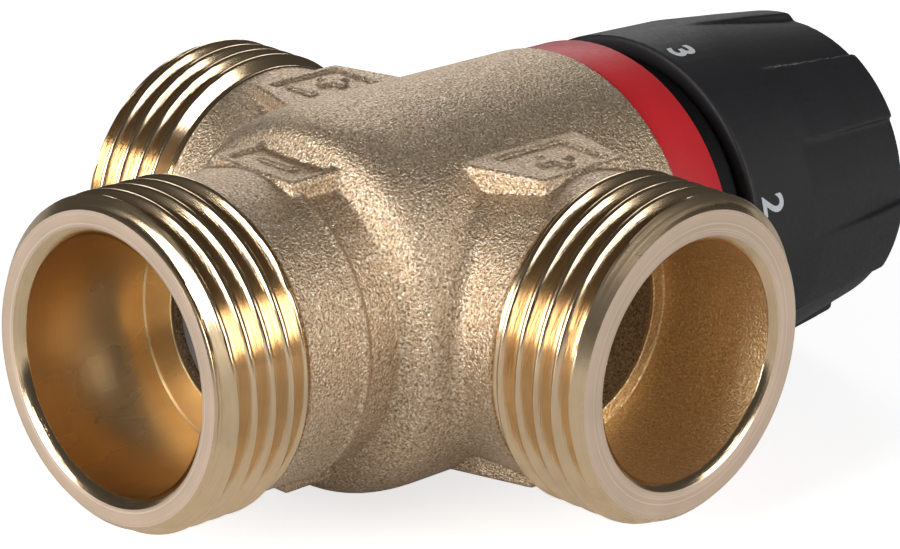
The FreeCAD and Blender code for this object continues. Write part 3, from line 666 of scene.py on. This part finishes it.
def digits(look):
    """Digits one to six round the knob's wall."""
    tall = look.digit_height / MM
    whole = []
    for i in range(6):
        shell = digit_mesh(str(i + 1), tall / 0.70)
        low = min(v.co.y for v in shell.verts)
        high = max(v.co.y for v in shell.verts)
        size = tall / (high - low)
        bmesh.ops.scale(shell, vec=(size, size, 1.0), verts=shell.verts)
        bmesh.ops.translate(shell, vec=(0.0, -low * size, 0.0), verts=shell.verts)
        bmesh.ops.triangulate(shell, faces=shell.faces)
        bmesh.ops.subdivide_edges(shell, edges=[e for e in shell.edges if e.calc_length() > 0.35], cuts=1)
        bmesh.ops.triangulate(shell, faces=shell.faces)
        bmesh.ops.solidify(shell, geom=shell.faces[:], thickness=DIGIT_DEPTH)
        bmesh.ops.recalc_face_normals(shell, faces=shell.faces)
        angle = math.radians(DIGIT_TURN + DIGIT_STEP * (i - 1))
        floor = min(v.co.z for v in shell.verts)
        for vert in shell.verts:
            along = DIGIT_LOW + vert.co.y
            base = knob_radius(along)
            lift = base + (vert.co.z - floor) - DIGIT_SUNK
            around = angle - vert.co.x / base
            vert.co = (lift * math.cos(around), -lift * math.sin(around), along)
        bmesh.ops.recalc_face_normals(shell, faces=shell.faces)
        solid_only(shell, 0.0004)
        whole.append((shell, None))
    piece("knob_digits", joined(whole), [printed(look)], SPINDLE, "knob", (), 40.0)


class ValveLook(bpy.types.PropertyGroup):
    """Colours and sizes of the finish."""

    cast: bpy.props.FloatVectorProperty(
        name="Cast brass", description="Colour of the blasted casting", subtype="COLOR",
        default=(0.650, 0.478, 0.308), min=0.0, max=1.0)
    turned: bpy.props.FloatVectorProperty(
        name="Turned brass", description="Colour of threads and bores", subtype="COLOR",
        default=(0.800, 0.590, 0.360), min=0.0, max=1.0)
    bored: bpy.props.FloatVectorProperty(
        name="Bored brass", description="Colour of the cold port's bore", subtype="COLOR",
        default=(0.840, 0.600, 0.320), min=0.0, max=1.0)
    faced: bpy.props.FloatVectorProperty(
        name="Faced brass", description="Colour of the sealing faces", subtype="COLOR",
        default=(0.790, 0.590, 0.430), min=0.0, max=1.0)
    ring: bpy.props.FloatVectorProperty(
        name="Colour ring", description="Colour of the ring under the knob", subtype="COLOR",
        default=(0.600, 0.022, 0.028), min=0.0, max=1.0)
    knob: bpy.props.FloatVectorProperty(
        name="Knob", description="Colour of the control knob", subtype="COLOR",
        default=(0.018, 0.018, 0.020), min=0.0, max=1.0)
    # The stop ring is black plastic, but this near-black, darker than the knob, is painted shade of the gap
    # under the knob; the seals are dark rubber of the same colour.
    dark: bpy.props.FloatVectorProperty(
        name="Dark parts", description="Colour of the stop ring and seals", subtype="COLOR",
        default=(0.006, 0.006, 0.006), min=0.0, max=1.0)
    disc: bpy.props.FloatVectorProperty(
        name="Cold disc", description="Colour of the valve disc in the cold port", subtype="COLOR",
        default=(0.085, 0.085, 0.090), min=0.0, max=1.0)
    white: bpy.props.FloatVectorProperty(
        name="White parts", description="Colour of the pale inner parts", subtype="COLOR",
        default=(0.700, 0.680, 0.620), min=0.0, max=1.0)
    steel: bpy.props.FloatVectorProperty(
        name="Steel", description="Colour of springs, clips and screw", subtype="COLOR",
        default=(0.560, 0.560, 0.570), min=0.0, max=1.0)
    digits: bpy.props.FloatVectorProperty(
        name="Digits", description="Colour of the printed digits", subtype="COLOR",
        default=(0.600, 0.620, 0.660), min=0.0, max=1.0)
    digit_height: bpy.props.FloatProperty(
        name="Digit height", description="Height of the digits along the spindle",
        subtype="DISTANCE", unit="LENGTH", default=0.0034, min=0.001, max=0.006)
    floor: bpy.props.FloatVectorProperty(
        name="Floor", description="Colour of the floor", subtype="COLOR",
        default=(0.680, 0.680, 0.680), min=0.0, max=1.0)


class VALVE_OT_casting(bpy.types.Operator):
    """Makes the cast body with its pads and signs"""

    bl_idname = "valve.casting"
    bl_label = "Cast body"

    def execute(self, context):
        shoulder = turned([(0.0, -19.4), (15.3, -19.4), (17.6, -18.3), (18.3, -17.66), (18.88, -16.68),
                           (18.88, -15.5), (0.0, -15.5)])
        ridge = turned([(15.0, -25.1), (15.72, -24.6), (15.95, -24.15), (15.72, -23.75), (15.0, -23.3)])
        shells = [(cad_copy("valve_body"), None)] + body_filling() + signs()
        shells += [(shoulder, SPINDLE), (ridge, SPINDLE)]
        mesh = moulded(joined(shells), 0.2, 2, 180000)
        shell = bmesh.new()
        shell.from_mesh(carve(mesh, body_hollows()))
        solid_only(shell, 0.0000004)
        for face in shell.faces:
            face.material_index = 0
        finish = cast_brass(context.scene.valve_look)
        piece("cast_body", shell, [finish], None, "body", ("valve_body",), 40.0)
        return {"FINISHED"}


class VALVE_OT_noses(bpy.types.Operator):
    """Makes the three threaded ends with their faces and bores"""

    bl_idname = "valve.noses"
    bl_label = "Threaded ends"

    def execute(self, context):
        look = context.scene.valve_look
        nose("cold_nose", COLD_BORE, COLD_TAIL_R, [
            turned_brass("turned_brass", look, (40.0, 1.0, 40.0)),
            faced_brass("faced_brass", look, (1.0, 0.0, 1.0)),
            bored_brass(look),
            turned_brass("chamfer_brass", look, (400.0, 1.0, 400.0), 36.0, 0.55, 0.10)])
        side = [turned_brass("turned_brass_side", look, (1.0, 40.0, 40.0)),
                faced_brass("faced_brass_side", look, (0.0, 1.0, 1.0)),
                blasted_bore(look),
                turned_brass("chamfer_brass_side", look, (1.0, 400.0, 400.0), 36.0, 0.55, 0.10)]
        nose("hot_nose", SIDE_BORE, SIDE_TAIL_R, side)
        nose("mixed_nose", SIDE_BORE, SIDE_TAIL_R, side)
        return {"FINISHED"}


class VALVE_OT_ring(bpy.types.Operator):
    """Makes the colour ring between body and knob"""

    bl_idname = "valve.ring"
    bl_label = "Colour ring"

    def execute(self, context):
        low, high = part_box("colour_ring")
        bottom, top = axis_mm(low.y), axis_mm(high.y)
        outer = (high.x - low.x) / 2.0 / MM
        shell = turned([(17.3, bottom), (outer, bottom), (outer, top), (16.1, top), (16.1, top - 0.9),
                        (17.3, top - 0.9)], 180)
        rounded(shell, 0.32, 4)
        finish = plastic("red_ring", context.scene.valve_look.ring, 0.46, 0.05, 0.28)
        piece("colour_ring_band", shell, [finish], SPINDLE, "body", ("colour_ring",))
        return {"FINISHED"}


class VALVE_OT_knob(bpy.types.Operator):
    """Makes the moulded knob and its digits"""

    bl_idname = "valve.knob"
    bl_label = "Knob and digits"

    def execute(self, context):
        look = context.scene.valve_look
        mesh = moulded(cad_copy("control_knob"), 0.2, 14, 150000)
        shell = bmesh.new()
        shell.from_mesh(mesh)
        finish = plastic("knob_plastic", look.knob, 0.52, 0.20, 0.32)
        piece("knob_shell", shell, [finish], None, "knob", ("control_knob",), 60.0)
        digits(look)
        return {"FINISHED"}


class VALVE_OT_springs(bpy.types.Operator):
    """Makes both springs"""

    bl_idname = "valve.springs"
    bl_label = "Springs"

    def execute(self, context):
        finish = steel(context.scene.valve_look)
        low, high = axis_mm(RETURN_LOW.y), axis_mm(RETURN_HIGH.y)
        spring = coil("return_coil", "return_spring", RETURN_COIL, low, high, finish, "body")
        keep = (high - low - SHUTTLE_TRAVEL) / (high - low)
        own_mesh(spring)
        low, high = axis_mm(OVERLOAD_LOW.y), axis_mm(OVERLOAD_HIGH.y)
        wire_r, turns = OVERLOAD_COIL
        mean_r = (OVERLOAD_HIGH.x - OVERLOAD_LOW.x) / 2.0 / MM - wire_r
        spring = coil("overload_coil", "overload_spring", (mean_r, wire_r, turns), low, high, finish, "nut")
        keep = (high - low - CUP_TRAVEL) / (high - low)
        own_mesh(spring)
        return {"FINISHED"}


class VALVE_OT_finishes(bpy.types.Operator):
    """Gives every part that is shown as the frame made it its finish"""

    bl_idname = "valve.finishes"
    bl_label = "Finishes"

    def execute(self, context):
        look = context.scene.valve_look
        by_slot = {name: bpy.data.materials[name] for name in
                   ("cast_brass", "turned_brass", "red_ring", "knob_plastic", "steel")}
        for name, color, rough, texture, specular in (
                # Stop ring: black plastic, made near-black and nearly without sheen as painted shade of the
                # gap between the colour ring and the knob.
                ("black_ring", look.dark, 0.55, 0.05, 0.15),
                ("seal_rubber", look.dark, 0.55, 0.08, 0.4),
                ("white_plastic", look.white, 0.42, 0.05, 0.4),
                ("shuttle_plastic", look.white, 0.48, 0.05, 0.4),
                ("disc_plastic", look.disc, 0.45, 0.06, 0.4)):
            by_slot[name] = plastic(name, color, rough, texture, specular)
        for entry in frame["record"]["subparts"]:
            mesh = frame["nodes"][entry["node"]].data
            mesh.materials.clear()
            mesh.materials.append(by_slot[entry["material_slot"]])
        return {"FINISHED"}


class VALVE_OT_stage(bpy.types.Operator):
    """Makes the floor, the lamps, the world and the camera"""

    bl_idname = "valve.stage"
    bl_label = "Stage"

    def execute(self, context):
        shell = bmesh.new()
        bmesh.ops.create_grid(shell, x_segments=1, y_segments=1, size=2.0)
        mesh = bpy.data.meshes.new("floor")
        shell.to_mesh(mesh)
        shell.free()
        mesh.materials.append(floor_paint(context.scene.valve_look))
        floor = bpy.data.objects.new("floor", mesh)
        context.scene.collection.objects.link(floor)
        for name, place, size, power in LAMPS:
            lamp(name, place, size, power)
        world_light()
        camera = bpy.data.objects.new("camera", bpy.data.cameras.new("camera"))
        context.scene.collection.objects.link(camera)
        camera.data.lens = LENS
        camera.data.sensor_width = 36.0
        camera.data.clip_start = 0.01
        camera.data.clip_end = 20.0
        camera.location = Vector((0.0, AXIS_Y, AXIS_Z)) + Vector(CAMERA_PLACE)
        camera.rotation_euler = [math.radians(angle) for angle in CAMERA_TURN]
        context.scene.camera = camera
        context.scene.view_settings.view_transform = "Standard"
        return {"FINISHED"}


def floor_paint(look):
    """Pale floor: white to the camera, with the object's soft shadow left on it."""
    f = Finish("floor_paint")
    paint = f.add("ShaderNodeBsdfDiffuse", {"Color": rgb(look.floor)})
    strength = f.ray("Camera") * 0.74 + (f.ray("Glossy") + f.ray("Transmission")) * 0.08
    glow = f.add("ShaderNodeEmission", {"Color": WHITE, "Strength": strength})
    both = f.add("ShaderNodeAddShader", {0: paint, 1: glow})
    f.add("ShaderNodeOutputMaterial", {"Surface": both})
    return f.material


def lamp(name, place, size, power):
    """Soft box of a width and height that looks at the object."""
    light = bpy.data.lights.new(name, "AREA")
    light.shape = "RECTANGLE"
    light.size, light.size_y = size
    light.energy = power
    holder = bpy.data.objects.new(name, light)
    bpy.context.scene.collection.objects.link(holder)
    holder.location = place
    aim = Vector((0.0, 0.0, AXIS_Z)) - Vector(place)
    holder.rotation_euler = aim.to_track_quat("-Z", "Y").to_euler()


def world_light():
    """White to the camera and through clear parts, and a dim room over a lit table to everything else."""
    world = bpy.data.worlds.new("room")
    bpy.context.scene.world = world
    world.use_nodes = True
    w = Nodes(world.node_tree)
    place = w.add("ShaderNodeTexCoord", out="Generated")
    height = w.add("ShaderNodeSeparateXYZ", {0: place}, "Z")
    room = w.spread(height, -0.02, 0.08, 0.60, 0.06)
    seen = w.ray("Camera") + w.ray("Transmission")
    shade = w.add("ShaderNodeBackground", {"Color": WHITE, "Strength": room * (1 - seen) + seen})
    w.add("ShaderNodeOutputWorld", {"Surface": shade})


class VALVE_PT_panel(bpy.types.Panel):
    """Sizes, colours and steps of the valve"""

    bl_label = "Mixing valve"
    bl_idname = "VALVE_PT_panel"
    bl_space_type = "VIEW_3D"
    bl_region_type = "UI"
    bl_category = "Valve"

    def draw(self, context):
        layout = self.layout
        for name in ValveLook.__annotations__:
            layout.prop(context.scene.valve_look, name)
        for step in STEPS:
            layout.operator(step.bl_idname)


STEPS = (VALVE_OT_casting, VALVE_OT_noses, VALVE_OT_ring, VALVE_OT_knob, VALVE_OT_springs,
         VALVE_OT_finishes, VALVE_OT_stage)


def register():
    for part in (ValveLook,) + STEPS + (VALVE_PT_panel,):
        bpy.utils.register_class(part)
    bpy.types.Scene.valve_look = bpy.props.PointerProperty(type=ValveLook)


def unregister():
    del bpy.types.Scene.valve_look
    for part in reversed((ValveLook,) + STEPS + (VALVE_PT_panel,)):
        bpy.utils.unregister_class(part)


def main():
    register()
    bpy.ops.valve.casting()
    bpy.ops.valve.noses()
    bpy.ops.valve.ring()
    bpy.ops.valve.knob()
    bpy.ops.valve.springs()
    bpy.ops.valve.finishes()
    bpy.ops.valve.stage()


if __name__ == "__main__":
    main()
